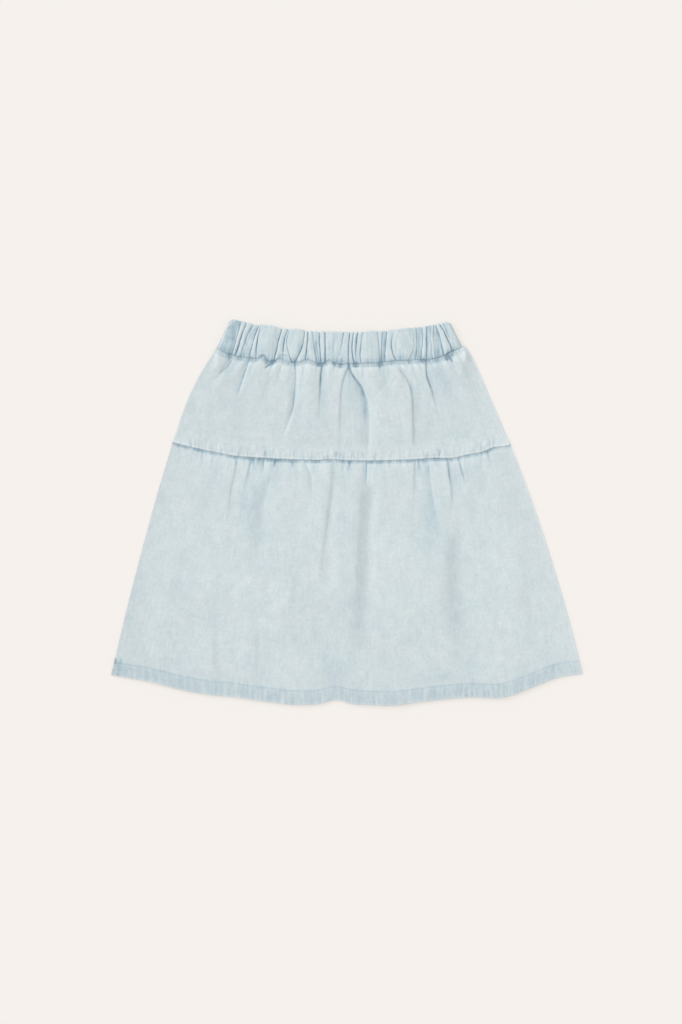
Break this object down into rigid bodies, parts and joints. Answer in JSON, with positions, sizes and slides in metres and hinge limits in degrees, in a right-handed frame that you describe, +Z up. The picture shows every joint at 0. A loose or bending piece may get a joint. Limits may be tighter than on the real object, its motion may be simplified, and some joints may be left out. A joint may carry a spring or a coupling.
{
  "type": "denim skirt",
  "caption": "Gathered denim skirt in two tiers with an elastic waist casing and a turned-up hem, laid flat on its back.",
  "frame": {"origin": "centre of the rectangle that the skirt covers, on the surface that it lies on", "axes": "+X to the wearer's left side, +Y from the hem to the waist, +Z up, out of the skirt's front"},
  "size_m": [0.5282, 0.434, 0.011],
  "materials": {
    "denim": "light-wash denim, matt and slubby, worn pale along its folds and seams",
    "denim_casing": "light-wash denim gathered on elastic, bluer in its creases"
  },
  "bodies": {
    "root": {"waistband_front": "denim_casing", "waistband_back": "denim_casing", "upper_tier_front": "denim", "upper_tier_back": "denim", "lower_tier_front": "denim", "lower_tier_back": "denim"}
  },
  "joints": []
}
